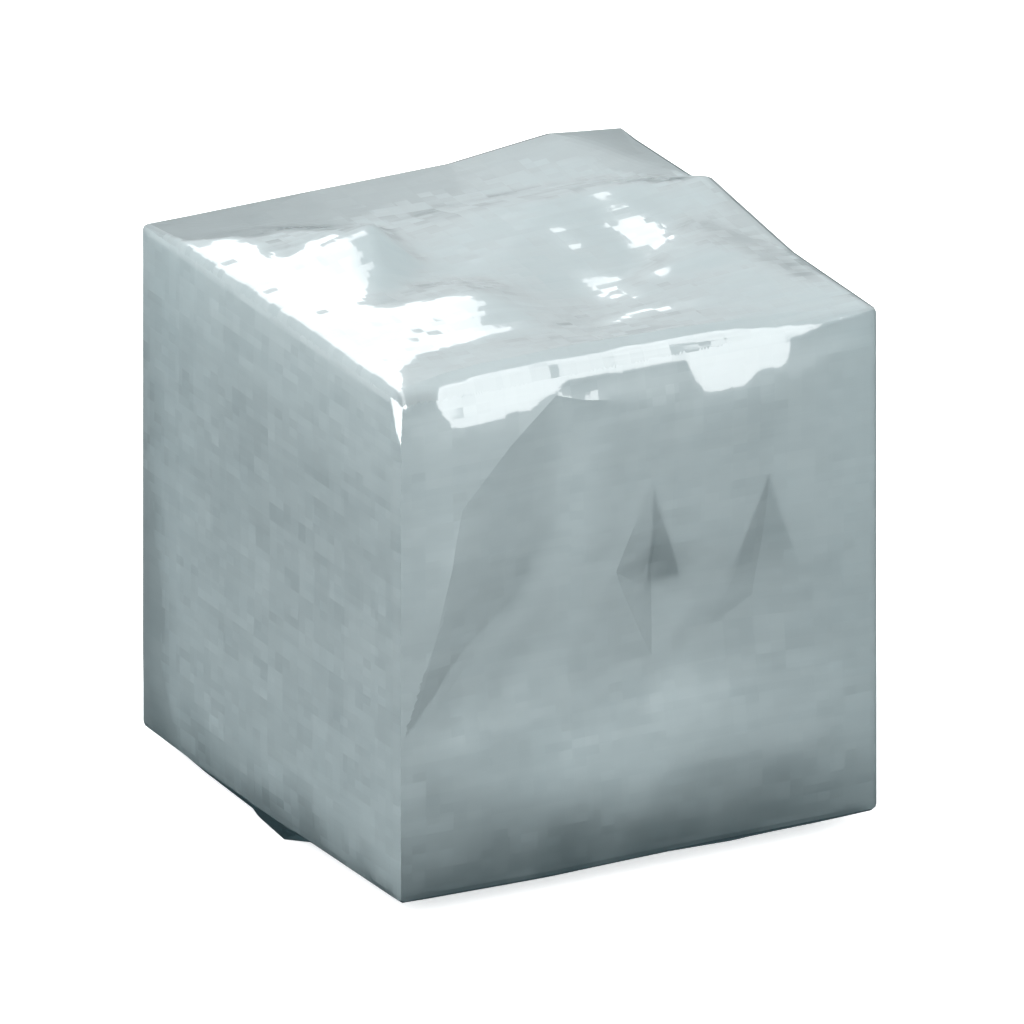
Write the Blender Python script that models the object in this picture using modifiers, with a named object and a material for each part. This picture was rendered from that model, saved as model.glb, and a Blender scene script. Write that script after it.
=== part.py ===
"""Ice block: one cube of carving ice whose six faces have melted into lumps, hollows and folds.

The skin is laid out as a net of lines, in millimetres. Twelve rims run along the edges of the
cube, and ridges and creases run over its faces, each through the few points that its shape needs.
Each face is filled with triangles between its lines, divided, and softened as melting softens
ice, and the rims are bevelled. The block stands on the flat that the floor melted into it.
"""

import bmesh
import bpy
from mathutils import Vector, geometry

MM = 0.001

# Driving dimensions of the cube, in millimetres
WIDTH = 256.0
DEPTH = 259.0
HIGH = 264.2
LOW = 10.0
LEFT = -WIDTH / 2
RIGHT = WIDTH / 2
FRONT = -DEPTH / 2
BACK = DEPTH / 2

# How the skin is made from the net
LONGEST_EDGE = 24.0
SOFTENING = 0.3
SOFTENING_ROUNDS = 1
RIM_BEVEL = 3.2
RIM_SEGMENTS = 2

ICE_COLOUR = (0.40, 0.47, 0.48, 1.0)
ICE_ROUGHNESS = 0.2
ICE_IOR = 1.31
ICE_TRANSMISSION = 0.6

# The eight corners
LEFT_FRONT_HIGH = (LEFT, FRONT + 4.5, HIGH + 4.5)
RIGHT_FRONT_HIGH = (RIGHT, FRONT, HIGH)
LEFT_BACK_HIGH = (LEFT, BACK, HIGH - 0.3)
RIGHT_BACK_HIGH = (RIGHT, BACK, HIGH + 0.8)
LEFT_FRONT_LOW = (LEFT, FRONT, LOW)
RIGHT_FRONT_LOW = (RIGHT, FRONT, LOW - 0.6)
LEFT_BACK_LOW = (LEFT, BACK, LOW - 0.8)
RIGHT_BACK_LOW = (RIGHT, BACK, LOW)

# The twelve rims: each runs from corner to corner
RIMS = {
    "front_top": [
        LEFT_FRONT_HIGH,
        (-100, FRONT + 6, HIGH + 1),
        (-57, FRONT + 6, HIGH + 1),
        (-13, FRONT + 6, HIGH),
        (40, FRONT + 6, HIGH - 2),
        (90, FRONT + 4, HIGH - 3),
        RIGHT_FRONT_HIGH,
    ],
    "left_top": [
        LEFT_FRONT_HIGH,
        (LEFT, -70, HIGH + 4),
        (LEFT, -18, HIGH + 4.2),
        (LEFT, 40, HIGH + 3.6),
        (LEFT, 90, HIGH + 3.8),
        LEFT_BACK_HIGH,
    ],
    "back_top": [
        LEFT_BACK_HIGH,
        (-40, BACK, HIGH),
        (35, BACK, HIGH),
        (89, BACK, HIGH + 5.3),
        RIGHT_BACK_HIGH,
    ],
    "right_top": [
        RIGHT_FRONT_HIGH,
        (RIGHT, -48, HIGH - 0.5),
        (RIGHT, 36, HIGH + 8.4),
        (RIGHT, 54, HIGH + 2.5),
        RIGHT_BACK_HIGH,
    ],
    "left_front": [
        LEFT_FRONT_LOW,
        (LEFT, FRONT, 100),
        (LEFT, FRONT, 190),
        (LEFT, FRONT + 0.5, 246),
        LEFT_FRONT_HIGH,
    ],
    "right_front": [RIGHT_FRONT_LOW, (RIGHT, FRONT, 90), (RIGHT, FRONT, 180), RIGHT_FRONT_HIGH],
    "left_back": [LEFT_BACK_LOW, (LEFT, BACK, 90), (LEFT, BACK, 180), LEFT_BACK_HIGH],
    "right_back": [RIGHT_BACK_LOW, (RIGHT, BACK, 90), (RIGHT, BACK, 180), RIGHT_BACK_HIGH],
    "front_low": [LEFT_FRONT_LOW, (-45, FRONT, LOW - 1.5), (40, FRONT, LOW - 0.5), RIGHT_FRONT_LOW],
    "left_low": [
        LEFT_FRONT_LOW,
        (LEFT, -22, LOW - 1.4),
        (LEFT, 36, LOW - 3.4),
        (LEFT, 88, LOW - 1.6),
        LEFT_BACK_LOW,
    ],
    "back_low": [LEFT_BACK_LOW, (-30, BACK, LOW - 1.5), (55, BACK, LOW - 2), RIGHT_BACK_LOW],
    "right_low": [RIGHT_FRONT_LOW, (RIGHT, -40, LOW - 2), (RIGHT, 50, LOW - 1), RIGHT_BACK_LOW],
}

# Lines on the top: across, back, rise above the rims' level
PEAK = (-54, 36, 20)
PEAK_RIGHT_FOOT = (-38, 19, 0.5)
PEAK_BACK_FOOT = (-30, 72, -1)
PLATEAU_EDGE = (82, 54, 7.5)
HOLLOW_HEAD = (76, 24, 2.5)
SHOULDER_MIDDLE = (42, FRONT + 18, 2)
TOP_LINES = [
    # the sharp peak and the crest that joins it to the left rim
    [(-107, 74, 6.5), (-84, 62, 7), (-65, 58, 9.5), PEAK],
    [PEAK, PEAK_RIGHT_FOOT],
    [PEAK, (-75, -13, 3.5)],
    [PEAK, PEAK_BACK_FOOT],
    # the swollen left side
    [(-104, 30, 7.5), (-95, -10, 6.5), (-106, -34, 7), (-104, -88, 5.5)],
    # the rounded lump in front of the peak
    [(-95, -33, 7), (-75, -33, 6), (-35, -34, 9), (-25, -63, 3.5), (-31, -84, 3)],
    [(-60, -8, 1.5), (-34, -4, 0.5), (-12, -22, 0)],
    # the plateau's crest, which ends on the right rim, and the valley behind it
    [PEAK_RIGHT_FOOT, (12, 61, 4.5), (50, 57, 6), PLATEAU_EDGE],
    [PEAK_BACK_FOOT, (8, 84, -3), (50, 86, -3.5), (88, 82, -2), (108, 66, 0)],
    # the lump at the back right
    [(89, BACK, 5.3), (104, 110, 3.5), (115, 76, 2)],
    # the hollow, from the plateau down to the front shoulder
    [HOLLOW_HEAD, (66, -21, -2.5), (22, -49, -5), (-8, -68, -2)],
    # the second peak and its two ridges
    [(47, -42, -1), (70, -23, 2.5), (92, -36, 6), (101, -59, 3)],
    # where the top turns down into the front shoulder
    [(-98, FRONT + 14, 4.5), (-57, FRONT + 16, 5), (-13, FRONT + 18, 3.5), SHOULDER_MIDDLE],
    [SHOULDER_MIDDLE, (88, FRONT + 14, 0)],
    # the plain parts round the hollow and behind the peak
    [(101, 8, 4), HOLLOW_HEAD, (20, 24, 3)],
    [(-62, -84, 3.5), (0, -92, 0.5), (52, -88, 1)],
    [(-90, 100, 1), (-20, 104, -1)],
]

# Lines on the front: across, height, swell beyond the rims' plane
LONG_FOLD = (-43, 252, -1.5)
LONG_FOLD_TIP = (-122, 93, 1.5)
LONG_FOLD_FLOOR = (-63, 148, -10)
LONG_FOLD_CREASE = [(-42, 222, -6), (-44, 178, -9.5), LONG_FOLD_FLOOR, (-81, 133, -10), (-101, 110, -6)]
MIDDLE_FOLD = (10, 199, -3)
MIDDLE_FOLD_LEFT = (-11, 154, -3)
MIDDLE_FOLD_FLOOR = (13, 139, -14)
MIDDLE_FOLD_RIGHT = (26, 138, -13)
MIDDLE_FOLD_FOOT = (11, 106, -8)
RIGHT_FOLD = (71, 189, -2)
RIGHT_FOLD_LEFT = (53, 139, -6)
RIGHT_FOLD_FLOOR = (66, 127, -11)
SHOULDER_DIP = (28, 236, -0.5)
FRONT_LINES = [
    # where the front turns back into the shoulder
    [(-104, 245, 0.5), (-72, 245, 0), LONG_FOLD, (-14, 243, -1), SHOULDER_DIP],
    [SHOULDER_DIP, (53, 228, 0.5), (82, 240, 0), (108, 249, -0.3)],
    # the long fold: a sharp crest on its left, the step under it, and its floor
    [LONG_FOLD, (-68, 231, 1), (-94, 203, 2), (-98, 188, 2.5), LONG_FOLD_TIP],
    [LONG_FOLD, (-64, 228, -3), (-89, 200, -4), (-92, 184, -4), (-107, 122, -4), LONG_FOLD_TIP],
    [LONG_FOLD] + LONG_FOLD_CREASE + [LONG_FOLD_TIP],
    # the middle fold, an arrowhead with a ledge over the right half of its floor
    [MIDDLE_FOLD, MIDDLE_FOLD_LEFT, MIDDLE_FOLD_FOOT],
    [MIDDLE_FOLD, (12, 163, -7.5), MIDDLE_FOLD_FLOOR, MIDDLE_FOLD_FOOT],
    [MIDDLE_FOLD, (23, 162, -5), MIDDLE_FOLD_RIGHT, MIDDLE_FOLD_FLOOR],
    # the right fold, with a steep left side
    [RIGHT_FOLD, (61, 163, -3.5), RIGHT_FOLD_LEFT],
    [RIGHT_FOLD, (69, 154, -9), RIGHT_FOLD_FLOOR],
    [RIGHT_FOLD, (83, 162, -2), (92, 122, -3.5)],
    # the bank between the middle and right folds, and the drop under it
    [MIDDLE_FOLD_RIGHT, RIGHT_FOLD_LEFT],
    [MIDDLE_FOLD_FOOT, (32, 121, -10.5), (52, 131, -8)],
    [MIDDLE_FOLD_FOOT, (34, 112, -11), RIGHT_FOLD_FLOOR],
    # the panels that stand out between the folds
    [(-22, 200, -3), (-27, 132, -4), (-32, 104, -5)],
    [(36, 200, -2), (38, 164, -3)],
    [(108, 200, -0.5), (108, 140, -1.5), (108, 80, 0.5)],
    # the gentle rise under the folds
    [(-92, 84, 0.5), (-44, 86, -3), (4, 82, -3.5), (56, 84, -4), (92, 78, -1)],
    # the swollen foot of the face
    [(-92, 54, 2), (-45, 50, 1.5), (0, 48, 2), (45, 52, 1.5), (88, 46, 1.5)],
    [(-70, 26, 2), (-26, 24, 0.5), (30, 26, 1.5), (80, 24, 1.5)],
]

# Lines on the left: back, height, swell
LEFT_LINES = [
    [(100, 228, 0.6), (104, 150, 0.8), (100, 66, 0.4)],
    [(54, 225, 1.8), (44, 150, 0.2), (50, 62, 1.6)],
    [(-12, 222, 2.2), (-24, 140, 0.6), (-8, 60, 2.4)],
    [(-76, 215, 1.4), (-84, 130, 1.0), (-70, 58, 2)],
    [(98, 32, 0.2), (20, 30, 1.6), (-60, 30, 1.4)],
]

# Lines on the right: back, height, swell
TALL_FOLD = (6, 218, -1.5)
SHORT_FOLD = (78, 176, -2)
RIGHT_LINES = [
    [(-96, 222, 0), (-48, 232, -1), TALL_FOLD, (40, 240, -0.5), (92, 226, -0.5)],
    # a fold that opens downwards
    [TALL_FOLD, (-24, 150, -3), (-6, 116, -12), (26, 128, -4), TALL_FOLD],
    [TALL_FOLD, (2, 160, -8), (-6, 116, -12)],
    # a short fold nearer the back
    [SHORT_FOLD, (60, 122, -4), (82, 110, -10), (100, 130, -2), SHORT_FOLD],
    [SHORT_FOLD, (82, 110, -10)],
    # a shallow dish towards the front
    [(-92, 166, -1), (-70, 112, -5), (-88, 62, 0)],
    [(-46, 66, 1), (-4, 56, 0), (46, 66, 1.5), (94, 58, 1)],
    [(-70, 30, 1.5), (0, 28, 1), (70, 32, 2)],
]

# Lines on the back: across, height, swell
BROAD_FOLD = (-40, 226, -1.2)
BACK_FOLD = (64, 222, -1)
BACK_LINES = [
    [(-94, 232, 0), BROAD_FOLD, (12, 238, -1), BACK_FOLD, (104, 230, 0)],
    # a broad fold, a crest with a crease on each side
    [BROAD_FOLD, (-58, 160, -6), (-76, 96, -3)],
    [BROAD_FOLD, (-34, 150, -2), (-46, 88, 0)],
    [BROAD_FOLD, (-8, 156, -8), (-14, 100, -10), (-46, 88, 0)],
    # a second fold
    [BACK_FOLD, (46, 140, -4), (66, 116, -11), (90, 136, -2.5), BACK_FOLD],
    [BACK_FOLD, (66, 116, -11), (60, 72, -1)],
    [(-104, 150, 0), (-100, 70, 1)],
    [(-70, 44, 2), (-12, 46, 0.5), (50, 36, 1.5), (98, 50, 1)],
]

# Lines on the underside: across, back, drop below the rims' level. The foot is the melted flat.
FOOT = [
    (-108, -106),
    (-60, -110),
    (-4, -107),
    (58, -111),
    (105, -104),
    (109, -40),
    (104, 30),
    (108, 102),
    (46, 108),
    (-20, 105),
    (-98, 107),
    (-108, 92),
    (-119, 42),
    (-126, -10),
    (-110, -26),
    (-111, -66),
]


def top_point(across, back, rise):
    return (across, back, HIGH + rise)


def front_point(across, height, swell):
    return (across, FRONT - swell, height)


def back_point(across, height, swell):
    return (across, BACK + swell, height)


def left_point(back, height, swell):
    return (LEFT - swell, back, height)


def right_point(back, height, swell):
    return (RIGHT + swell, back, height)


def foot_point(across, back):
    return (across, back, 0.0)


def points_on(place, lines):
    """The lines of one face as points in space."""
    return [[place(*point) for point in line] for line in lines]


# Each face: the two axes it is drawn in, its four rims, and the lines on it
FACES = [
    ((0, 1), ["front_top", "right_top", "back_top", "left_top"], points_on(top_point, TOP_LINES)),
    ((0, 2), ["front_low", "right_front", "front_top", "left_front"], points_on(front_point, FRONT_LINES)),
    ((0, 2), ["back_low", "right_back", "back_top", "left_back"], points_on(back_point, BACK_LINES)),
    ((1, 2), ["left_low", "left_back", "left_top", "left_front"], points_on(left_point, LEFT_LINES)),
    ((1, 2), ["right_low", "right_back", "right_top", "right_front"], points_on(right_point, RIGHT_LINES)),
    ((0, 1), ["front_low", "right_low", "back_low", "left_low"], points_on(foot_point, [FOOT + FOOT[:1]])),
]


def remove_everything():
    for found in list(bpy.data.objects):
        bpy.data.objects.remove(found, do_unlink=True)


def net_of(lines):
    """The different points of some lines, and the links between them."""
    points = []
    links = set()
    for line in lines:
        numbers = []
        for point in line:
            if point not in points:
                points.append(point)
            numbers.append(points.index(point))
        links.update(zip(numbers, numbers[1:]))
    return points, sorted(links)


def fill_face(skin, side, axes, rims, lines):
    """Fill one face of the cube with triangles that keep to its rims and lines."""
    points, links = net_of([RIMS[name] for name in rims] + lines)
    flat = [Vector((point[axes[0]], point[axes[1]])) for point in points]
    inside_links = 1
    closeness = 0.001
    filled = geometry.delaunay_2d_cdt(flat, links, [], inside_links, closeness)
    corners = []
    for sources in filled[3]:
        corners.append(skin.verts.new(Vector(points[sources[0]]) * MM))
    for triangle in filled[2]:
        face = skin.faces.new([corners[number] for number in triangle])
        face.material_index = side


def is_rim(edge):
    sides = {face.material_index for face in edge.link_faces}
    return len(sides) > 1


def divide_long_edges(skin):
    """Halve the long edges until none is longer than LONGEST_EDGE."""
    longest = LONGEST_EDGE * MM
    long_edges = [edge for edge in skin.edges if edge.calc_length() > longest]
    while long_edges:
        bmesh.ops.subdivide_edges(skin, edges=long_edges, cuts=1)
        bmesh.ops.triangulate(skin, faces=skin.faces[:])
        long_edges = [edge for edge in skin.edges if edge.calc_length() > longest]


def soften(skin):
    """Melt the creases a little, but neither the rims nor the flat foot."""
    held = set()
    for edge in skin.edges:
        if is_rim(edge):
            held.update(edge.verts)
    loose = [vert for vert in skin.verts if vert not in held and vert.co.z > LOW * MM / 2]
    for _ in range(SOFTENING_ROUNDS):
        bmesh.ops.smooth_vert(
            skin, verts=loose, factor=SOFTENING, use_axis_x=True, use_axis_y=True, use_axis_z=True
        )


def centre_over_origin(skin):
    """Stand the block with the middle of its length and width over the origin."""
    across = [vert.co.x for vert in skin.verts]
    back = [vert.co.y for vert in skin.verts]
    middle = Vector((min(across) + max(across), min(back) + max(back), 0.0)) / 2
    bmesh.ops.translate(skin, verts=skin.verts[:], vec=-middle)


def ice_skin():
    """The closed skin of the block, with the rims marked for the bevel."""
    skin = bmesh.new()
    for side, (axes, rims, lines) in enumerate(FACES):
        fill_face(skin, side, axes, rims, lines)
    bmesh.ops.remove_doubles(skin, verts=skin.verts, dist=0.01 * MM)
    divide_long_edges(skin)
    soften(skin)
    centre_over_origin(skin)
    bmesh.ops.recalc_face_normals(skin, faces=skin.faces[:])
    weight = skin.edges.layers.float.new("bevel_weight_edge")
    for edge in skin.edges:
        edge[weight] = 1.0 if is_rim(edge) else 0.0
    for face in skin.faces:
        face.material_index = 0
        face.smooth = True
    mesh = bpy.data.meshes.new("ice_block")
    skin.to_mesh(mesh)
    skin.free()
    return mesh


def ice_material():
    ice = bpy.data.materials.new("ice")
    ice.use_nodes = True
    surface = ice.node_tree.nodes["Principled BSDF"]
    surface.inputs["Base Color"].default_value = ICE_COLOUR
    surface.inputs["Metallic"].default_value = 0.0
    surface.inputs["Roughness"].default_value = ICE_ROUGHNESS
    surface.inputs["IOR"].default_value = ICE_IOR
    surface.inputs["Transmission Weight"].default_value = ICE_TRANSMISSION
    return ice


def ice_block():
    """The block, in a collection of its own."""
    block = bpy.data.objects.new("ice_block", ice_skin())
    block.data.materials.append(ice_material())
    home = bpy.data.collections.new("ice_block")
    bpy.context.scene.collection.children.link(home)
    home.objects.link(block)
    rims = block.modifiers.new("rims", "BEVEL")
    rims.limit_method = "WEIGHT"
    rims.width = RIM_BEVEL * MM
    rims.segments = RIM_SEGMENTS
    return block


remove_everything()
ice_block()
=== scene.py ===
import math

import bpy
import numpy as np
from mathutils import Matrix, Vector, noise


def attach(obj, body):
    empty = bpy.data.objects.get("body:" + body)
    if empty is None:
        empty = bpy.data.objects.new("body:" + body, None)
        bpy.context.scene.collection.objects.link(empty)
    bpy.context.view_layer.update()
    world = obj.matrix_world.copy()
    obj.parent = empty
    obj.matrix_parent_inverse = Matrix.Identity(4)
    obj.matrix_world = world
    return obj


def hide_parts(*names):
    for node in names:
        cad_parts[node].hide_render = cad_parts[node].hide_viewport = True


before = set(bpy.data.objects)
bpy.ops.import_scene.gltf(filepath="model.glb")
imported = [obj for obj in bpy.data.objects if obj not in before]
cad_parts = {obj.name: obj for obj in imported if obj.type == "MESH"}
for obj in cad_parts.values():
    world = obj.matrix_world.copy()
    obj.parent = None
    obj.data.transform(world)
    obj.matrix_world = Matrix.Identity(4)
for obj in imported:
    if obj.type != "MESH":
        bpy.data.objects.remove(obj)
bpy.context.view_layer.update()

# The block: a cube of carving ice, sawn from a longer factory-frozen block and then left to melt.
# The saw left flat faces; an hour of melting wore them into folds, lumps and a soft front
# shoulder, and rounded every rim. It is clear ice clouded by fine bubbles, so light sinks in.
BLOCK_WIDTH = 0.256
BLOCK_DEPTH = 0.259
BLOCK_TOP = 0.2642
HALF = np.array((BLOCK_WIDTH / 2, BLOCK_DEPTH / 2, BLOCK_TOP / 2))
CENTRE = np.array((0, 0, BLOCK_TOP / 2))
OUTWARD = {
    "left": (-1, 0, 0),
    "right": (1, 0, 0),
    "front": (0, -1, 0),
    "back": (0, 1, 0),
    "foot": (0, 0, -1),
    "top": (0, 0, 1),
}
WELD = 0.00005

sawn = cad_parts["ice_block"]
bpy.ops.object.select_all(action="DESELECT")
block = bpy.data.objects.new("melted_ice_block", sawn.data.copy())
block.data.transform(sawn.matrix_world)
bpy.context.scene.collection.objects.link(block)
block.select_set(True)
bpy.context.view_layer.objects.active = block
block.data.materials.clear()
mesh = block.data
names = list(OUTWARD)
outward = np.array([OUTWARD[name] for name in names], dtype=float)

bpy.ops.object.mode_set(mode="EDIT")
bpy.ops.mesh.select_mode(type="VERT")
bpy.ops.mesh.select_all(action="SELECT")
bpy.ops.mesh.remove_doubles(threshold=WELD)
bpy.ops.mesh.faces_shade_smooth()
bpy.ops.object.mode_set(mode="OBJECT")


def places_of(mesh):
    places = np.empty(len(mesh.vertices) * 3)
    mesh.vertices.foreach_get("co", places)
    return places.reshape(-1, 3)


def rim_gap(places):
    """How far each place is from the nearest rim of the cube."""
    gaps = HALF - np.abs(places - CENTRE)
    return np.sort(gaps, axis=1)[:, 1]


def face_of(places):
    """The number of the face that each place is on."""
    return np.argmax(((places - CENTRE) / HALF) @ outward.T, axis=1)


def edge_length(edge, places):
    start, end = edge.vertices
    return np.linalg.norm(places[start] - places[end])


# Crests that melting has left sharp: the edges of the folds and of the peak. The folds are on the
# front: two small ones, and the thin end of a long one.
CREASE = math.radians(13)
BLUNT_CREASE = math.radians(30)
SMALL_CREASE = math.radians(18)
UNDERSIDE = -0.4
NEAR_RIM = 0.004
FRONT_ENDS = -0.1
SMALL_FOLDS_LEFT, SMALL_FOLDS_RIGHT = -0.02, 0.1
SMALL_FOLDS_LOW, SMALL_FOLDS_HIGH = 0.1, 0.205
THIN_END_RIGHT = -0.05
THIN_END_LOW, THIN_END_HIGH = 0.085, 0.165


def in_small_folds(place):
    """Whether a place is in the two small folds, or in the long fold's thin end."""
    x, y, z = place
    small = SMALL_FOLDS_LEFT < x < SMALL_FOLDS_RIGHT and SMALL_FOLDS_LOW < z < SMALL_FOLDS_HIGH
    thin = x < THIN_END_RIGHT and THIN_END_LOW < z < THIN_END_HIGH
    return y < FRONT_ENDS and (small or thin)


bpy.ops.object.mode_set(mode="EDIT")
bpy.ops.mesh.select_mode(type="EDGE")
bpy.ops.mesh.select_all(action="DESELECT")
bpy.ops.mesh.edges_select_sharp(sharpness=CREASE)
bpy.ops.object.mode_set(mode="OBJECT")
places = places_of(mesh)
gaps = rim_gap(places)
sides = {}
for side in mesh.polygons:
    for key in side.edge_keys:
        sides.setdefault(key, []).append(side)
for edge in mesh.edges:
    start, end = edge.vertices
    first, last = sides[edge.key][0], sides[edge.key][-1]
    is_crest = (last.center - first.center).dot(first.normal) < 0
    turn = first.normal.angle(last.normal)
    middle = (places[start] + places[end]) / 2
    is_crisp = is_crest and (middle[1] < FRONT_ENDS or turn > BLUNT_CREASE)
    is_crisp = is_crisp or (in_small_folds(middle) and turn > SMALL_CREASE)
    low, high = sorted((first.normal.z, last.normal.z))
    is_underside = low < UNDERSIDE < high
    near_rim = min(gaps[start], gaps[end]) < NEAR_RIM
    edge.select = bool(is_underside or (is_crisp and edge.select and not near_rim))
bpy.ops.object.mode_set(mode="EDIT")
bpy.ops.mesh.mark_sharp()
bpy.ops.object.mode_set(mode="OBJECT")

# The flat facets are halved until they are fine enough to round.
FINEST_EDGE = 0.0052
bpy.ops.object.mode_set(mode="EDIT")
bpy.ops.mesh.select_mode(type="EDGE")
for longest in (4 * FINEST_EDGE, 2 * FINEST_EDGE, FINEST_EDGE):
    bpy.ops.mesh.select_all(action="DESELECT")
    bpy.ops.object.mode_set(mode="OBJECT")
    places = places_of(mesh)
    for edge in mesh.edges:
        edge.select = bool(edge_length(edge, places) > longest)
    bpy.ops.object.mode_set(mode="EDIT")
    bpy.ops.mesh.subdivide(number_cuts=1)
    bpy.ops.mesh.select_all(action="SELECT")
    bpy.ops.mesh.quads_convert_to_tris(quad_method="SHORTEST_DIAGONAL", ngon_method="BEAUTY")
bpy.ops.object.mode_set(mode="OBJECT")

# The long fold's left bank is one sloping panel, from its crest down to the crease at its foot.
# For each height: the crest's place and depth, the crease's, and how far the crease has filled.
LONG_FOLD = {
    0.093: (-0.1208, -0.1304, -0.1208, -0.1304, 0.0000),
    0.110: (-0.1150, -0.1305, -0.1010, -0.1262, 0.0022),
    0.133: (-0.1110, -0.1307, -0.0810, -0.1240, 0.0040),
    0.148: (-0.1060, -0.1310, -0.0630, -0.1232, 0.0035),
    0.178: (-0.1000, -0.1314, -0.0450, -0.1237, 0.0036),
    0.203: (-0.0945, -0.1309, -0.0430, -0.1248, 0.0030),
    0.231: (-0.0690, -0.1299, -0.0420, -0.1262, 0.0020),
    0.252: (-0.0430, -0.1274, -0.0430, -0.1274, 0.0000),
}
FILLED_WIDTH = 0.04
fold_heights = list(LONG_FOLD)
for point in mesh.vertices:
    x, y, z = point.co
    if y > FRONT_ENDS or not fold_heights[0] < z < fold_heights[-1]:
        continue
    crest, crest_depth, crease, crease_depth, filled = (
        np.interp(z, fold_heights, column) for column in zip(*LONG_FOLD.values())
    )
    if crest < x < crease:
        across = (x - crest) / (crease - crest)
        point.co.y = min(y, crest_depth + across * (crease_depth - crest_depth))
    elif crease <= x < crease + FILLED_WIDTH:
        point.co.y = y - filled * (1 - (x - crease) / FILLED_WIDTH)

# Meltwater running down has hollowed the sides a little, in long shallow dips with finer ones
# among them. They fade out towards the rims.
HOLLOWS = {"left": 0.0005, "right": 0.0016, "front": 0.0003, "back": 0.0016}
RIM_MARGIN = 0.009
HOLLOW_FADE = 0.03
LONG_DIPS_ACROSS, LONG_DIPS_DOWN = 30, 14
FINE_DIPS_ACROSS, FINE_DIPS_DOWN = 70, 40
FINE_DIPS_SHIFT = 5
FINE_DIPS_SHARE = 0.25
places = places_of(mesh)
gaps = rim_gap(places)
face = face_of(places)
for point in mesh.vertices:
    name = names[face[point.index]]
    fade = min(max((gaps[point.index] - RIM_MARGIN) / HOLLOW_FADE, 0), 1)
    if name in HOLLOWS and fade > 0:
        x, y, z = point.co
        long_dips = (x * LONG_DIPS_ACROSS, y * LONG_DIPS_ACROSS, z * LONG_DIPS_DOWN)
        fine_height = z * FINE_DIPS_DOWN + FINE_DIPS_SHIFT
        fine_dips = (x * FINE_DIPS_ACROSS, y * FINE_DIPS_ACROSS, fine_height)
        dip = 0.5 + 0.5 * noise.noise(Vector(long_dips))
        dip += FINE_DIPS_SHARE * noise.noise(Vector(fine_dips))
        point.co -= Vector(OUTWARD[name]) * HOLLOWS[name] * fade * max(dip, 0)

# Melting rounds the small forms: every point that is off the foot, the rims and the crests
# settles towards its neighbours.
MELT_ROUNDS = {
    "top": 5,
    "front": 7,
    "small folds": 2,
    "left": 8,
    "right": 8,
    "back": 8,
    "foot": 4,
}
MELT_STRENGTH = 0.5
FOOT_HEIGHT = 0.0008
sharp_points = {point for edge in mesh.edges if edge.use_edge_sharp for point in edge.vertices}
for name, rounds in MELT_ROUNDS.items():
    bpy.ops.object.mode_set(mode="EDIT")
    bpy.ops.mesh.select_mode(type="VERT")
    bpy.ops.mesh.select_all(action="DESELECT")
    bpy.ops.object.mode_set(mode="OBJECT")
    places = places_of(mesh)
    gaps = rim_gap(places)
    face = face_of(places)
    for point in mesh.vertices:
        part = "small folds" if in_small_folds(point.co) else names[face[point.index]]
        loose = part == name and gaps[point.index] > RIM_MARGIN and point.co.z > FOOT_HEIGHT
        point.select = bool(loose and point.index not in sharp_points)
    bpy.ops.object.mode_set(mode="EDIT")
    bpy.ops.mesh.vertices_smooth(factor=MELT_STRENGTH, repeat=rounds)
    bpy.ops.mesh.select_all(action="DESELECT")
    bpy.ops.object.mode_set(mode="OBJECT")

# The sides end in a low rim all round. Under it the block turns in to its flat foot.
RIM_HEIGHT = 0.0086
bpy.ops.object.mode_set(mode="EDIT")
bpy.ops.mesh.select_all(action="SELECT")
bpy.ops.mesh.bisect(plane_co=(0, 0, RIM_HEIGHT), plane_no=(0, 0, 1))
bpy.ops.mesh.select_all(action="SELECT")
bpy.ops.mesh.quads_convert_to_tris(quad_method="BEAUTY", ngon_method="BEAUTY")
bpy.ops.mesh.select_all(action="DESELECT")
bpy.ops.object.mode_set(mode="OBJECT")

# The forms along the rims and in the small folds are finer than the rest.
FINE_RIM = 0.012
places = places_of(mesh)
gaps = rim_gap(places)
for edge in mesh.edges:
    start, end = edge.vertices
    is_long = edge_length(edge, places) > FINEST_EDGE / 2
    is_fine = min(gaps[start], gaps[end]) < FINE_RIM
    is_fine = is_fine or in_small_folds((places[start] + places[end]) / 2)
    edge.select = bool(is_long and is_fine)
bpy.ops.object.mode_set(mode="EDIT")
bpy.ops.mesh.select_mode(type="EDGE")
bpy.ops.mesh.subdivide(number_cuts=1)
bpy.ops.mesh.select_all(action="SELECT")
bpy.ops.mesh.quads_convert_to_tris(quad_method="BEAUTY", ngon_method="BEAUTY")
bpy.ops.object.mode_set(mode="OBJECT")

# The wet surface is smoother than the ice below it. What follows works out which way it faces
# at each corner of each facet. It starts from the flat side that the facet is on.
corner_point = np.empty(len(mesh.loops), dtype=np.int32)
mesh.loops.foreach_get("vertex_index", corner_point)
places = places_of(mesh)[corner_point] - CENTRE
along, inward, height = places[:, 0], places[:, 1], places[:, 2] + CENTRE[2]
flow = np.empty(len(mesh.loops) * 3)
mesh.corner_normals.foreach_get("vector", flow)
flow = flow.reshape(-1, 3)
facing = np.empty(len(mesh.polygons) * 3)
mesh.polygons.foreach_get("normal", facing)
middles = np.empty(len(mesh.polygons) * 3)
mesh.polygons.foreach_get("center", middles)
middles = middles.reshape(-1, 3)
face = face_of(middles)
face[(facing[2::3] < UNDERSIDE) | (middles[:, 2] < RIM_HEIGHT)] = names.index("foot")
face = np.repeat(face, 3)
middles = np.repeat(middles, 3, axis=0)
gap = HALF @ np.abs(outward).T - places @ outward.T
gap_to = {name: gap[:, index] for index, name in enumerate(names)}
on = {name: face == index for index, name in enumerate(names)}
settled = outward[face].copy()


def ramp(values, start, end):
    """From 0 at the start to 1 at the end, and level beyond them."""
    return np.clip((values - start) / (end - start), 0, 1)


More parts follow.
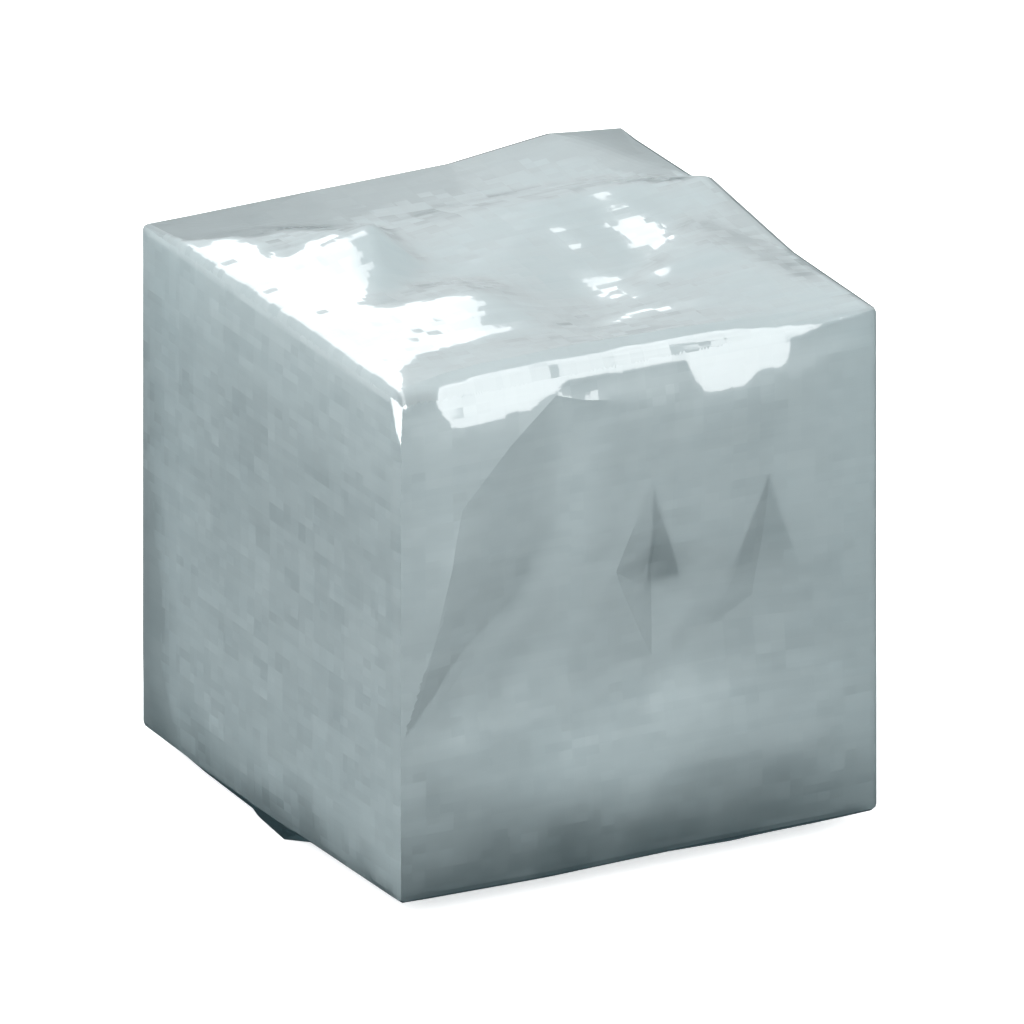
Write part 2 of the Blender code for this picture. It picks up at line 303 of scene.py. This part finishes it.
def lean(amounts, name):
    """Turns the surface towards the way that a face looks."""
    settled[:] += amounts[:, None] * outward[names.index(name)]


def patch(x, y, half_x, half_y, second):
    """1 in the middle of an oval patch, and 0 at its edge and beyond."""
    inside = ((along - x) / half_x) ** 2 + ((second - y) / half_y) ** 2
    return np.clip(1 - inside, 0, 1)


# The front shoulder is a melted ledge under the rim. For each place across the front: how far
# back on the top it starts, and how far down the front it ends.
SHOULDER = {
    -0.108: (0.0020, 0.0020),
    -0.103: (0.0060, 0.0100),
    -0.097: (0.0066, 0.0155),
    -0.088: (0.0068, 0.0165),
    -0.078: (0.0080, 0.0138),
    -0.058: (0.0085, 0.0135),
    -0.045: (0.0088, 0.0090),
    -0.036: (0.0088, 0.0058),
    -0.016: (0.0090, 0.0064),
    -0.004: (0.0105, 0.0068),
    0.027: (0.0105, 0.0072),
    0.033: (0.0105, 0.0190),
    0.038: (0.0105, 0.0238),
    0.057: (0.0098, 0.0233),
    0.066: (0.0075, 0.0175),
    0.078: (0.0055, 0.0175),
    0.083: (0.0053, 0.0070),
    0.092: (0.0042, 0.0060),
    0.100: (0.0030, 0.0030),
    0.126: (0.0010, 0.0010),
}
SHOULDER_LEFT, SHOULDER_RIGHT = -0.11, 0.122
SHOULDER_FADE = 0.005
SHELF_SOFTNESS = 0.003
SHELF_AT_START = 0.7
LEDGE_AT_END = 0.45
LEDGE_SOFTNESS = 0.003
LEDGE_SPREAD = 0.4
UPPER_LEAN = 0.16
UPPER_DEPTH = 0.12
starts, ends = np.array(list(SHOULDER.values())).T
starts = np.interp(along, list(SHOULDER), starts)
ends = np.interp(along, list(SHOULDER), ends)
within = ramp(along, SHOULDER_LEFT, SHOULDER_LEFT + SHOULDER_FADE)
within *= ramp(along, SHOULDER_RIGHT, SHOULDER_RIGHT - SHOULDER_FADE)
shelf = (starts - gap_to["front"]) / SHELF_SOFTNESS + SHELF_AT_START
lean(np.clip(shelf, 0, 1) * within * on["top"], "front")
under = gap_to["top"]
ledge = LEDGE_AT_END - (under - ends) / (LEDGE_SOFTNESS + LEDGE_SPREAD * ends)
upper_ledge = 1 - (1 - LEDGE_AT_END) * np.clip(under, 0, 1) / ends
ledge = np.clip(np.where(under < ends, upper_ledge, ledge), 0, 1) * within
ledge += UPPER_LEAN * np.clip(1 - under / UPPER_DEPTH, 0, 1)
lean(ledge * on["front"], "top")

# Under the brows of the two small folds, the front leans down: the height of the brow's point
# and of its foot, the point's place, the foot's left and right ends, the lean, and how sharply
# it ends at the foot.
BROWS = (
    (0.197, 0.141, 0.0090, 0.0095, 0.0290, 0.32, 12),
    (0.191, 0.136, 0.0705, 0.0490, 0.0900, 0.24, 2.5),
)
BROW_EDGE = 0.0015
for point, foot, point_place, left, right, amount, sharpness in BROWS:
    fall = (point - height) / (point - foot)
    past_left = along - point_place - (left - point_place) * fall
    short_of_right = point_place + (right - point_place) * fall - along
    inside = np.clip(np.minimum(past_left, short_of_right) / BROW_EDGE, 0, 1)
    inside *= np.clip(sharpness * (1 - fall), 0, 1) * (fall > 0) * on["front"]
    lean(amount * inside, "foot")

# The thin end of the long fold is one flat bank, which leans to the right and hangs over at its
# tip. For each height: where its crest is, where its crease is, and how far it hangs over.
BANK = {
    0.0935: (-0.1255, -0.1255, 0.16),
    0.1030: (-0.1228, -0.1180, 0.16),
    0.1125: (-0.1194, -0.1085, 0.16),
    0.1220: (-0.1168, -0.1010, 0.13),
    0.1316: (-0.1128, -0.0915, 0.05),
    0.1411: (-0.1090, -0.0785, 0.01),
    0.1510: (-0.1050, -0.0640, 0.00),
    0.1650: (-0.1025, -0.0550, 0.00),
}
BANK_LEAN = 0.18
BANK_TIP = 0.093
BANK_STARTS, BANK_FULL, BANK_WANES, BANK_ENDS = 0.085, 0.095, 0.143, 0.163
BANK_EDGE = 0.002
crest, crease, hang = np.array(list(BANK.values())).T
past_crest = middles[:, 0] > np.interp(middles[:, 2], list(BANK), crest)
short_of_crease = np.interp(height, list(BANK), crease) - along
at_bank = ramp(height, BANK_ENDS, BANK_WANES) * ramp(height, BANK_STARTS, BANK_FULL) * on["front"]
bank = np.clip(short_of_crease / BANK_EDGE + 0.5, 0, 1) * past_crest * at_bank
bank *= height > BANK_TIP
lean(BANK_LEAN * bank, "right")
lean(np.interp(height, list(BANK), hang) * bank, "foot")

# The front is a little fuller above the folds, and hollow on the right below them: place and
# height, half width and half height, and how far it leans up.
SWELLS = (
    (-0.04, 0.21, 0.09, 0.06, 0.09),
    (0.08, 0.112, 0.06, 0.055, -0.09),
    (-0.07, 0.098, 0.045, 0.022, -0.06),
    (-0.075, 0.134, 0.022, 0.014, 0.06),
)
for x, z, half_width, half_height, amount in SWELLS:
    lean(amount * patch(x, z, half_width, half_height, height) * on["front"], "top")

# The top has slumped to the left along its left rim, up to the peak and over the lump in front
# of it. For each place along the rim: how far in the slump reaches, and how softly it ends.
SLUMP = {
    -0.124: (-0.124, 0.010),
    -0.104: (-0.113, 0.010),
    -0.090: (-0.098, 0.012),
    -0.088: (-0.074, 0.030),
    -0.078: (-0.034, 0.050),
    -0.056: (-0.024, 0.050),
    -0.048: (-0.026, 0.040),
    -0.038: (-0.046, 0.030),
    -0.028: (-0.086, 0.012),
    -0.014: (-0.080, 0.010),
    0.010: (-0.075, 0.008),
    0.028: (-0.069, 0.008),
    0.046: (-0.071, 0.008),
    0.054: (-0.100, 0.010),
    0.084: (-0.104, 0.014),
    0.090: (-0.120, 0.010),
    0.096: (-0.140, 0.010),
}
SLUMP_LEAN = 0.28
reach, softness = np.array(list(SLUMP.values())).T
reach = np.interp(inward, list(SLUMP), reach)
softness = np.interp(inward, list(SLUMP), softness)
slump = SLUMP_LEAN * np.clip((reach - along) / softness + 0.5, 0, 1)

# Wet dips and banks on the top: place, half width and length, lean to the left, lean to the back.
DIPS = (
    (0.074, 0.001, 0.017, 0.040, 0.25, 0),
    (0.037, 0.012, 0.010, 0.020, 0.14, 0),
    (0.073, 0.046, 0.010, 0.014, 0.14, 0),
    (0.030, -0.043, 0.016, 0.028, 0.24, 0),
    (0.055, -0.038, 0.012, 0.014, 0.18, 0),
    (0.014, -0.083, 0.014, 0.010, 0.22, 0),
    (0.030, -0.081, 0.014, 0.010, 0.22, 0),
    (0.046, -0.084, 0.012, 0.008, 0.17, 0),
    (-0.095, 0.050, 0.013, 0.011, -0.27, 0),
    (0.118, -0.020, 0.035, 0.090, 0, 0.2),
    (-0.056, -0.062, 0.040, 0.026, -0.11, 0),
    (0.120, 0.092, 0.022, 0.036, -0.15, 0.5),
)
# Behind the ridge the top leans back, for each place across it.
BEHIND_RIDGE = {-0.1: 0.4, -0.05: 0.4, 0.0: 0.3, 0.06: 0.3, 0.1: 0.4}
RIDGE, RIDGE_END = 0.075, 0.105
backward = np.interp(along, list(BEHIND_RIDGE), list(BEHIND_RIDGE.values()))
backward *= ramp(inward, RIDGE, RIDGE_END)
for x, y, half_width, half_length, left, back in DIPS:
    inside = patch(x, y, half_width, half_length, inward)
    slump += left * inside
    backward += back * inside
slumped = np.clip(slump / SLUMP_LEAN, 0, 1) * on["top"]
lean(slump * on["top"], "left")
lean(backward * on["top"], "back")

# Where two faces meet, the wet surface turns slowly from one to the other. For each face and
# neighbour: the width of the tight turn at the rim, then how far and how wide the face leans.
TURN = {
    "top": {
        "front": (0.0001, 0, 0.01),
        "left": (0.004, 0, 0.01),
        "right": (0.005, 0, 0.01),
        "back": (0.006, 0.15, 0.03),
    },
    "front": {
        "left": (0.0001, 0.1, 0.012),
        "right": (0.003, 0.1, 0.02),
        "foot": (0.004, 1.25, 0.1),
    },
    "left": {
        "top": (0.004, 0.35, 0.08),
        "front": (0.0001, 0.1, 0.012),
        "back": (0.004, 0.6, 0.045),
        "foot": (0.004, 0.75, 0.045),
    },
    "right": {
        "top": (0.006, 0.3, 0.03),
        "front": (0.004, 0.2, 0.02),
        "back": (0.006, 0.3, 0.03),
        "foot": (0.004, 0.6, 0.05),
    },
    "back": {
        "top": (0.006, 0.3, 0.03),
        "left": (0.006, 0.3, 0.03),
        "right": (0.006, 0.3, 0.03),
        "foot": (0.004, 0.6, 0.05),
    },
    "foot": {},
}
LEAST_TURN = 0.8
# Under the front, the block turns in to its foot: for each place across, how high up and how far.
FRONT_FOOT = {
    -0.110: (0.000, 0.95),
    -0.060: (0.006, 1.10),
    -0.020: (0.027, 2.05),
    0.020: (0.018, 1.70),
    0.060: (0.004, 1.05),
    0.085: (0.000, 0.84),
    0.125: (0.000, 0.55),
}
# The left face turns to the back, for each height.
FAR_LEFT = {0.04: 2.1, 0.14: 0.5, 0.22: 0.3}
# Meltwater has cut runnels low down: their strength, their waves across and up, and their shift.
RUNNELS = ((1, 48, 90, 4), (0.7, 120, -70, 1.3))
RUNNEL_DEPTH = 0.003
RUNNEL_HEIGHT = 0.05
diagonal = along + inward
runnels = sum(
    strength * np.sin(waves * diagonal + rise * height + shift)
    for strength, waves, rise, shift in RUNNELS
)
runnels = RUNNEL_DEPTH * runnels * np.clip(2 - height / RUNNEL_HEIGHT, 0, 1)
low, turned = np.array(list(FRONT_FOOT.values())).T
low = np.interp(along, list(FRONT_FOOT), low) * on["front"]
turned = np.interp(along, list(FRONT_FOOT), turned)
far_left = np.interp(height, list(FAR_LEFT), list(FAR_LEFT.values()))
for name in names:
    for other, (tight, amount, width) in TURN[name].items():
        turning = np.clip(1 - gap_to[other] / tight, 0, 1) * max(1 - amount, LEAST_TURN)
        away = gap_to[other] + runnels + low * (other == "foot")
        turning += amount * np.clip(1 - away / width, 0, 1) ** 2
        if (name, other) == ("front", "foot"):
            turning *= turned
        if (name, other) == ("left", "back"):
            turning *= far_left
        lean(turning * on[name], other)

# The real slopes show through the wet surface, more on some faces than on others, and less where
# the water lies or has worn the folds.
RELIEF = {"front": 1.25, "top": 1.5, "left": 1.2, "right": 1.3, "back": 1.3, "foot": 0.4}
TOP_FLOW_LEFT, TOP_FLOW_RIGHT, TOP_FLOW_BACK = -0.03, 0.2, 0.1
WORN_BY_SLUMP = {-0.03: 0.35, 0: 0.85}
WORN_AT_BANK = 0.85
BESIDE_BANK, FAR_FROM_BANK = -0.02, -0.03
WORN_ACROSS_FOLDS = {0.025: 0.3, 0.035: 0.75}
WORN_BELOW_FOLDS = 0.45
BELOW_FOLDS, IN_FOLDS = 0.148, 0.158
FOLDS_LEFT, FOLDS_FULL = -0.045, -0.02
FOLDS_HIGH, FOLDS_TOP = 0.185, 0.205
FOLDS_LOW, FOLDS_FOOT = 0.105, 0.085
RELIEF_STARTS, RELIEF_FULL = 0.003, 0.015
flow[on["top"], 0] = np.clip(flow[on["top"], 0], TOP_FLOW_LEFT, TOP_FLOW_RIGHT)
flow[on["top"], 1] = np.minimum(flow[on["top"], 1], TOP_FLOW_BACK)
gain = np.array([RELIEF[name] for name in names])[face]
gain *= 1 - slumped * np.interp(inward, list(WORN_BY_SLUMP), list(WORN_BY_SLUMP.values()))
gain *= 1 - WORN_AT_BANK * at_bank * ramp(short_of_crease, FAR_FROM_BANK, BESIDE_BANK)
worn = np.interp(along, list(WORN_ACROSS_FOLDS), list(WORN_ACROSS_FOLDS.values()))
worn = np.maximum(worn, WORN_BELOW_FOLDS * ramp(height, IN_FOLDS, BELOW_FOLDS))
worn *= ramp(along, FOLDS_LEFT, FOLDS_FULL) * ramp(height, FOLDS_TOP, FOLDS_HIGH)
gain *= 1 - worn * on["front"] * ramp(height, FOLDS_FOOT, FOLDS_LOW)
nearest_rim = np.sort(np.abs(gap), axis=1)[:, 1]
relief = gain * ramp(nearest_rim, RELIEF_STARTS, RELIEF_FULL)
settled += relief[:, None] * (flow - outward[face])
settled /= np.linalg.norm(settled, axis=1)[:, None]

# The near corner has melted to a wet bevel that narrows downwards, mostly on the left face, with
# a small wet patch beside it on the front.
BEVEL_FACING = np.array((-0.634, -0.767, 0.092))
BEVEL_LENGTH = 0.026
BEVEL_ON_LEFT, BEVEL_ON_FRONT = 0.011, 0.003
PATCH_STARTS, PATCH_ENDS, PATCH_DEPTH = 0.002, 0.0072, 0.0055
EDGE_SOFTNESS = 0.0012
to_left, to_front = gap_to["left"], gap_to["front"]
narrowing = np.clip(1 - under / BEVEL_LENGTH, 0, 1)
wet_patch = np.minimum(to_left - PATCH_STARTS, PATCH_ENDS - to_left)
wet_patch = np.where(on["front"], np.minimum(wet_patch, PATCH_DEPTH - under), -1)
bevel = np.where(on["front"], BEVEL_ON_FRONT * narrowing - to_left, -1)
bevel = np.where(on["left"], BEVEL_ON_LEFT * narrowing - to_front, bevel)
wet = np.clip(np.maximum(bevel, wet_patch) / EDGE_SOFTNESS + 0.5, 0, 1)[:, None]
settled += wet * (BEVEL_FACING - settled)
settled /= np.linalg.norm(settled, axis=1)[:, None]

# The grain runs in flat little cells along each face, so each face has its own flat map.
ACROSS = {
    "left": (1, 2),
    "right": (1, 2),
    "front": (0, 2),
    "back": (0, 2),
    "foot": (0, 1),
    "top": (0, 1),
}
MAP_SPACING = 0.5
grain = mesh.uv_layers.new(name="grain")
flat = np.empty((len(mesh.loops), 2))
for index, name in enumerate(names):
    flat[on[name]] = places[on[name]][:, ACROSS[name]] + MAP_SPACING * index
grain.data.foreach_set("uv", flat.ravel())
mesh.normals_split_custom_set([tuple(n) for n in settled])

# The ice: half of it lets light through, half is cloudy, and all of it is wet.
ice = bpy.data.materials.new("clouded ice")
ice.use_nodes = True
nodes, links = ice.node_tree.nodes, ice.node_tree.links
shader = nodes["Principled BSDF"]
shader.inputs["IOR"].default_value = 1.31
shader.inputs["Transmission Weight"].default_value = 0.5
shader.inputs["Coat Weight"].default_value = 1.0
shader.inputs["Coat Roughness"].default_value = 0.05
shader.inputs["Coat IOR"].default_value = 1.4
absorb = nodes.new("ShaderNodeVolumeAbsorption")
absorb.inputs["Color"].default_value = (0.35, 0.5, 0.52, 1)
absorb.inputs["Density"].default_value = 18.0
links.new(absorb.outputs["Volume"], nodes["Material Output"].inputs["Volume"])


def math_node(operation, first, second):
    node = nodes.new("ShaderNodeMath")
    node.operation = operation
    for socket, value in zip(node.inputs, (first, second)):
        if isinstance(value, (int, float)):
            socket.default_value = value
        else:
            links.new(value, socket)
    return node.outputs[0]


def vector_node(operation, first, second=None, scale=None):
    node = nodes.new("ShaderNodeVectorMath")
    node.operation = operation
    for socket, value in zip(node.inputs, (first, second)):
        if isinstance(value, tuple):
            socket.default_value = value
        elif value is not None:
            links.new(value, socket)
    if scale is not None:
        links.new(scale, node.inputs["Scale"])
    return node.outputs[0]


flat_map = nodes.new("ShaderNodeUVMap")
flat_map.uv_map = "grain"


def cells(width, height):
    """A random colour, and a random value, for each cell of that size."""
    snapped = vector_node("SNAP", flat_map.outputs["UV"], (width, height, 1))
    random = nodes.new("ShaderNodeTexWhiteNoise")
    random.noise_dimensions = "3D"
    links.new(snapped, random.inputs["Vector"])
    return random.outputs["Color"], random.outputs["Value"]


# Each cell of the grain tilts a little its own way, and more so on the top.
CELL_TILT = 0.07
MORE_ON_TOP = 0.035
small_tilt, small_shade = cells(0.0072, 0.0046)
wide_tilt, wide_shade = cells(0.0150, 0.0092)
tilt = vector_node("ADD", small_tilt, wide_tilt)
tilt = vector_node("SUBTRACT", tilt, (1, 1, 1))
surface = nodes.new("ShaderNodeNewGeometry")
upright = nodes.new("ShaderNodeSeparateXYZ")
links.new(surface.outputs["Normal"], upright.inputs["Vector"])
upward = math_node("MAXIMUM", upright.outputs["Z"], 0)
tilt_amount = math_node("ADD", math_node("MULTIPLY", upward, MORE_ON_TOP), CELL_TILT)
tilt = vector_node("SCALE", tilt, scale=tilt_amount)
normal = vector_node("NORMALIZE", vector_node("ADD", surface.outputs["Normal"], tilt))
links.new(normal, shader.inputs["Normal"])
links.new(normal, shader.inputs["Coat Normal"])

# Bubbles gather in bands, clouds and cells: a little lighter here, a little darker there.
CLOUD_SHADE, SMALL_SHADE, WIDE_SHADE, STREAK_SHADE = 0.25, 0.12, 0.13, 0.12
place = nodes.new("ShaderNodeTexCoord")
stretch = nodes.new("ShaderNodeMapping")
stretch.inputs["Scale"].default_value = (1, 1, 0.5)
links.new(place.outputs["Object"], stretch.inputs["Vector"])
cloud = nodes.new("ShaderNodeTexNoise")
cloud.inputs["Scale"].default_value = 24
cloud.inputs["Detail"].default_value = 4
links.new(stretch.outputs["Vector"], cloud.inputs["Vector"])
streak_shade = cells(0.0460, 0.0041)[1]
shade = math_node("MULTIPLY", math_node("SUBTRACT", cloud.outputs["Fac"], 0.5), CLOUD_SHADE)
for source, share in (
    (small_shade, SMALL_SHADE),
    (wide_shade, WIDE_SHADE),
    (streak_shade, STREAK_SHADE),
):
    change = math_node("MULTIPLY", math_node("SUBTRACT", source, 0.5), share)
    shade = math_node("ADD", shade, change)
shade = math_node("ADD", shade, 0.5)
tone = nodes.new("ShaderNodeMix")
tone.data_type = "RGBA"
links.new(shade, tone.inputs["Factor"])
tone.inputs[6].default_value = (0.62, 0.742, 0.768, 1)
tone.inputs[7].default_value = (0.83, 0.96, 0.975, 1)
links.new(tone.outputs[2], shader.inputs["Base Color"])
ROUGHNESS = 0.32
ROUGHNESS_SPREAD = 0.08
wetness = math_node("ADD", ROUGHNESS, math_node("MULTIPLY", small_shade, ROUGHNESS_SPREAD))
links.new(wetness, shader.inputs["Roughness"])
mesh.materials.append(ice)

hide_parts("ice_block")
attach(block, "root")

# The floor: a plain white sheet, wide enough to run out of sight.
FLOOR_SIZE = 8
FLOOR_GAP = 0.0002
bpy.ops.mesh.primitive_plane_add(size=FLOOR_SIZE, location=(0, 0, -FLOOR_GAP))
floor = bpy.context.object
floor.name = "floor"
sheet = bpy.data.materials.new("white sheet")
sheet.use_nodes = True
paper = sheet.node_tree.nodes["Principled BSDF"]
paper.inputs["Base Color"].default_value = (0.9, 0.9, 0.9, 1)
paper.inputs["Roughness"].default_value = 0.9
paper.inputs["Emission Color"].default_value = (1, 1, 1, 1)
paper.inputs["Emission Strength"].default_value = 0.6
floor.data.materials.append(sheet)
floor.visible_diffuse = False
floor.visible_glossy = False
floor.visible_transmission = False

# The light: a pale room, dark below and brightest overhead, and a few soft boxes.
room = bpy.data.worlds.new("pale room")
room.use_nodes = True
wall = room.node_tree
direction = wall.nodes.new("ShaderNodeTexCoord")
split = wall.nodes.new("ShaderNodeSeparateXYZ")
shade = wall.nodes.new("ShaderNodeValToRGB")
shade.color_ramp.elements[0].position = 0.44
shade.color_ramp.elements[0].color = (0.045, 0.07, 0.08, 1)
shade.color_ramp.elements[1].position = 0.57
shade.color_ramp.elements[1].color = (0.8, 0.82, 0.83, 1)
overhead = shade.color_ramp.elements.new(0.74)
overhead.color = (0.95, 0.965, 0.975, 1)
rise = wall.nodes.new("ShaderNodeMapRange")
rise.inputs["From Min"].default_value = -1
rise.inputs["From Max"].default_value = 1
wall.links.new(direction.outputs["Generated"], split.inputs["Vector"])
wall.links.new(split.outputs["Z"], rise.inputs["Value"])
wall.links.new(rise.outputs["Result"], shade.inputs["Fac"])
wall.links.new(shade.outputs["Color"], wall.nodes["Background"].inputs["Color"])
wall.nodes["Background"].inputs["Strength"].default_value = 0.94
bpy.context.scene.world = room
MIDDLE = Vector((0, 0, 0.14))


def soft_box(name, direction, along, distance, width, length, brightness, sheen_only=False):
    """A soft box that faces the block, its length turned along a direction."""
    lamp = bpy.data.lights.new(name, "AREA")
    lamp.shape = "RECTANGLE"
    lamp.size = width
    lamp.size_y = length
    lamp.energy = brightness * math.pi * width * length
    holder = bpy.data.objects.new(name, lamp)
    bpy.context.scene.collection.objects.link(holder)
    towards = Vector(direction).normalized()
    across = Vector(along).cross(towards).normalized()
    upward = towards.cross(across)
    holder.matrix_world = Matrix((across, upward, towards)).transposed().to_4x4()
    holder.location = MIDDLE + towards * distance
    holder.visible_diffuse = not sheen_only
    holder.visible_transmission = not sheen_only
    return holder


UPRIGHT = (0, 0, 1)
left_box = soft_box("left box", (-1.0, -0.3, 0.6), UPRIGHT, 2.5, 1.6, 1.6, 3.1)
left_box.visible_glossy = False
fill_box = soft_box("fill box", (-0.5, -0.85, 0.4), UPRIGHT, 2.6, 2.4, 1.4, 3.4)
fill_box.visible_glossy = False
for name, direction in (("right box", (1, 0.2, 0.2)), ("rear box", (0, 1, 0.2))):
    side_box = soft_box(name, direction, UPRIGHT, 2.6, 2.4, 1.4, 2.6)
    side_box.visible_glossy = False
    side_box.visible_transmission = False
soft_box("back box", (0, 0.45, 0.89), (0, 0.9, -0.45), 2.2, 1.4, 3.2, 4.4, sheen_only=True)
soft_box("front box", (0.44, -0.5, 0.72), (0, 0.77, 0.59), 2.2, 0.7, 1.9, 8.8, sheen_only=True)
soft_box("corner box", (-0.75, -0.62, -0.2), UPRIGHT, 2.2, 1.0, 0.7, 22.0, sheen_only=True)

# The camera looks from the front left, from above, with a long lens that keeps edges parallel.
AROUND = math.radians(-28.2)
ABOVE = math.radians(21.9)
VIEW_WIDTH = 0.48256
TO_RIGHT, UPWARD, AWAY = 0.00118, 0.1289, 3
right = Vector((math.cos(AROUND), math.sin(AROUND), 0))
back = Vector(
    (
        math.sin(AROUND) * math.cos(ABOVE),
        -math.cos(AROUND) * math.cos(ABOVE),
        math.sin(ABOVE),
    )
)
up = back.cross(right)
view = bpy.data.cameras.new("camera")
view.type = "ORTHO"
view.ortho_scale = VIEW_WIDTH
camera = bpy.data.objects.new("camera", view)
bpy.context.scene.collection.objects.link(camera)
camera.location = right * TO_RIGHT + up * UPWARD + back * AWAY
camera.rotation_euler = back.to_track_quat("Z", "Y").to_euler()
bpy.context.scene.camera = camera
bpy.context.scene.view_settings.view_transform = "Standard"
